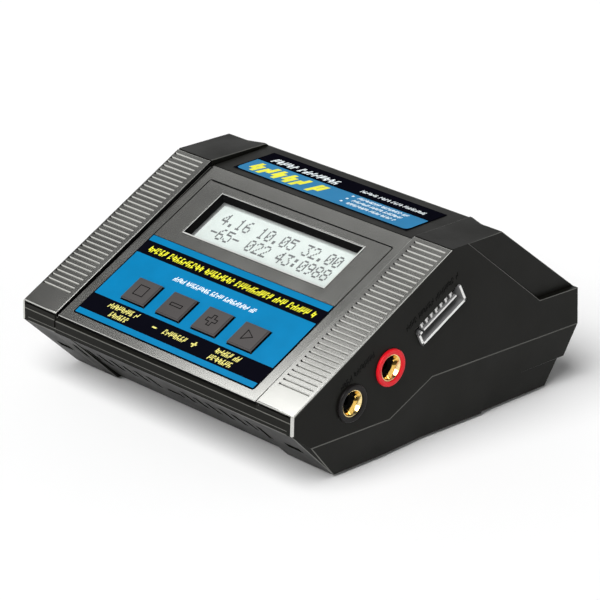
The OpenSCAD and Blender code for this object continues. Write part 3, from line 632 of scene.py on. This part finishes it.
# Outlines of the parts of a socket, as (radius, height out of the wall). The ring has an edge of
# radius RING_ROUND; the funnel narrows to a bore, and BORE_SHADE, a black lining of painted shade, lines
# the funnel's lower part and the bore.
RING_R = 6.4
RING_PROUD = 1.0
RING_ROUND = 0.5
RING_INSIDE = [(4.6, -6), (4.8, -6), (4.8, 0), (RING_R, 0)]
RING_LIP = [(4.9, RING_PROUD), (4.6, 0.75)]
FUNNEL = [(2.9, -3.1), (2.0, -3.2), (2.0, -18), (3.4, -18), (3.4, -7), (4.58, -6.4),
          (4.58, 0.35), (4.5, 0.5), (4.3, 0.5), (4.15, 0.35), (3.0, -1.9)]
BORE_SHADE = [(2.97, -1.85), (2.97, -3.1), (1.99, -3.16), (1.99, -12), (1.6, -12), (1.6, -2.7),
          (2.5, -2.3)]


def ring_edge():
    """A quarter round between the side and the face of a ring, in seven points."""
    points = []
    for k in range(7):
        a = math.radians(15 * k)
        points.append((RING_R - RING_ROUND * (1 - math.cos(a)),
                       RING_PROUD - RING_ROUND + RING_ROUND * math.sin(a)))
    return points


def jacks():
    """Insulated rings, plated funnels and a black lining of painted shade inside each."""
    for sign, at, ring in (("negative", JACK_MINUS, "jack_black"), ("positive", JACK_PLUS, "jack_red")):
        place = on_right(at)
        bm = bmesh.new()
        lathe(bm, RING_INSIDE + ring_edge() + RING_LIP, 96)
        add_piece(sign + "_ring_turned", bm, place, MAT[ring], "case", (sign + "_jack_ring",))
        bm = bmesh.new()
        lathe(bm, FUNNEL, 96)
        add_piece(sign + "_socket_turned", bm, place, MAT["gold_plate"], "case",
                  (sign + "_jack_socket",))
        bm = bmesh.new()
        lathe(bm, BORE_SHADE, 64)
        # Painted shade: a black lining inside the lower funnel and the bore
        add_piece(sign + "_bore_shade_lining", bm, place, SHADE_BLACK)


def balance_port():
    """White shroud; its upper side is a comb of ribbed fingers with a bar under them.

    In its frame x is down, from top to low, y is up the slope and z is out of the wall, from
    back to front.
    """
    place = on_right(BALANCE_AT) @ turn(SLOPE, "Z")
    top, low = -3.4, 3.4
    end = 11.45
    back, front = -9.0, 0.8
    wall = 0.9
    bm = bmesh.new()
    # The lower wall, the two ends with a step at one, the back wall and the bar
    box(bm, low - wall, low, -end, end, back, front)
    box(bm, top, low, end - wall, end, back, front)
    box(bm, top + 1.6, low, -end, -end + wall, back, front)
    box(bm, top + 1.6, top + 2.4, -end, -end + 1.9, back, front)
    box(bm, top, low, -end, end, back, back + 2)
    box(bm, top + 1.9, top + 2.6, -3.4 * BALANCE_PITCH, 3.4 * BALANCE_PITCH, back, 0.5)
    # Each finger is a high rib beside a lower one
    for i in range(7):
        y = (i - 3) * BALANCE_PITCH
        box(bm, top + 0.1, top + 2.1, y - 1.0, y - 0.15, back, -0.4)
        box(bm, top + 0.4, top + 2.1, y - 0.1, y + 0.85, back, -1.0)
    edges = [e for e in bm.edges if e.calc_length() > 0.4]
    bmesh.ops.bevel(bm, geom=edges, offset=0.05, segments=2, affect="EDGES", profile=0.5)
    shroud = add_piece("balance_shroud", bm, place, MAT["connector_white"], "case", ("balance_housing",))
    # Painted shade: faces that look along the wall get a darker grey, except at the rim
    shroud.data.materials.append(SHADED_WHITE)
    to_port = place.inverted()
    for face in shroud.data.polygons:
        if abs(face.normal.x) < 0.5 and (to_port @ face.center).z < 0.6:
            face.material_index = 1
    # A painted shadow: black behind the fingers, so that the gaps between them are dark
    bm = bmesh.new()
    box(bm, top - 0.02, top + 1.9, -end + 0.1, end - wall - 0.02, back + 0.5, -1.5)
    add_piece("balance_slot_shadow", bm, place, SHADE_BLACK)


def wall_marks():
    """Faint raised marks of letter size beside the sockets on the right wall, drawn in the black of
    painted shade.
    """
    for name, at, seed, x0, x1, y0, y1 in (("output_marks", JACK_MINUS, 31, -1.5, 17, 6.8, 8.9),
                                           ("balance_marks", BALANCE_AT, 32, -14.5, 13, 5.8, 7.9)):
        place = on_right(at) @ turn(math.radians(90), "Z") @ turn(SLOPE, "Z")
        bm = bmesh.new()
        letter_blocks(bm, seed, x0, x1, y0, y1, -MARK_SUNK, MARK_PROUD, 0.13)
        # Painted shade: the marks are drawn in the black that stands for shade
        add_piece(name, bm, place, SHADE_BLACK)


def shells():
    """The moulded shells, whose rounded edges carry a lighter painted highlight, and the mains inlet."""
    softened("upper_shell", 0.22, 12, low=14, rim=SHELL_EDGE_HIGHLIGHT)
    softened("lower_shell", 0.2, 12, low=20, rim=SHELL_EDGE_HIGHLIGHT)
    softened("ac_inlet", 0.25, 9)


# ---------------------------------------------------------------- stage


def plain_floor():
    """A white floor, a hair under the feet."""
    bm = bmesh.new()
    bmesh.ops.create_grid(bm, x_segments=1, y_segments=1, size=6)
    mesh = bpy.data.meshes.new("floor")
    bm.to_mesh(mesh)
    bm.free()
    floor = bpy.data.objects.new("floor", mesh)
    bpy.context.scene.collection.objects.link(floor)
    floor.location.z = -0.0002
    floor.data.materials.append(new_material("floor_white", (0.93, 0.93, 0.93), 0.9, specular=0.1))


def aim(obj, direction):
    """Turns a light to shine along a direction."""
    obj.rotation_euler = direction.to_track_quat("-Z", "Y").to_euler()


def reflector(name, place, size, power):
    """A lit rectangle that faces straight down and only shows in glossy surfaces."""
    data = bpy.data.lights.new(name, "AREA")
    data.shape = "RECTANGLE"
    data.size, data.size_y = size
    data.energy = power
    light = bpy.data.objects.new(name, data)
    bpy.context.scene.collection.objects.link(light)
    light.location = place
    light.visible_diffuse = False
    aim(light, Vector((0, 0, -1)))


def surroundings():
    """A world that is white up to some 20 degrees above the horizon and dark from 30 degrees."""
    world = bpy.data.worlds.new("studio")
    bpy.context.scene.world = world
    world.use_nodes = True
    tree = world.node_tree
    back = tree.nodes["Background"]
    coords = tree.nodes.new("ShaderNodeTexCoord")
    split = tree.nodes.new("ShaderNodeSeparateXYZ")
    ramp = tree.nodes.new("ShaderNodeValToRGB")
    ramp.color_ramp.elements[0].position = 0.36
    ramp.color_ramp.elements[0].color = (0.95, 0.95, 0.95, 1)
    ramp.color_ramp.elements[1].position = 0.5
    ramp.color_ramp.elements[1].color = (0.06, 0.06, 0.06, 1)
    tree.links.new(coords.outputs["Generated"], split.inputs["Vector"])
    tree.links.new(split.outputs["Z"], ramp.inputs["Fac"])
    tree.links.new(ramp.outputs["Color"], back.inputs["Color"])
    back.inputs["Strength"].default_value = 1.0


def lights():
    """A reflector above and before the case, a wide dim one above and behind it, and a sun."""
    reflector("front_glow", (-0.124, -0.195, 0.36), (0.3, 0.3), 0.66)
    reflector("rear_glow", (-0.2, 0.246, 0.36), (1.0, 0.4), 0.4)
    # The sun is broad and soft, from the front and above
    data = bpy.data.lights.new("key", "SUN")
    data.energy = 3.6
    data.angle = math.radians(50)
    key = bpy.data.objects.new("key", data)
    bpy.context.scene.collection.objects.link(key)
    aim(key, Vector((-0.1, 0.62, -0.78)))


def camera():
    """Long lens at the front right, a little above, with a slight roll."""
    azimuth = math.radians(44.71)
    elevation = math.radians(22.27)
    roll = math.radians(1.334)
    distance = 1.0294
    target = Vector((0.00044, -0.00133, 0.02994))
    level = math.cos(elevation)
    ahead = Vector((-math.sin(azimuth) * level, math.cos(azimuth) * level, -math.sin(elevation)))
    data = bpy.data.cameras.new("camera")
    data.lens = 181.9
    data.sensor_width = 36
    data.clip_start = 0.01
    cam = bpy.data.objects.new("camera", data)
    bpy.context.scene.collection.objects.link(cam)
    cam.location = target - ahead * distance
    upright = ahead.to_track_quat("-Z", "Y").to_matrix().to_4x4()
    cam.rotation_euler = (upright @ turn(roll, "Z")).to_euler()
    bpy.context.scene.camera = cam


camera()
plain_floor()
surroundings()
lights()
shells()
silver_front()
keypad_print()
top_print()
display()
keys()
jacks()
balance_port()
wall_marks()
bpy.context.scene.view_settings.view_transform = "Standard"
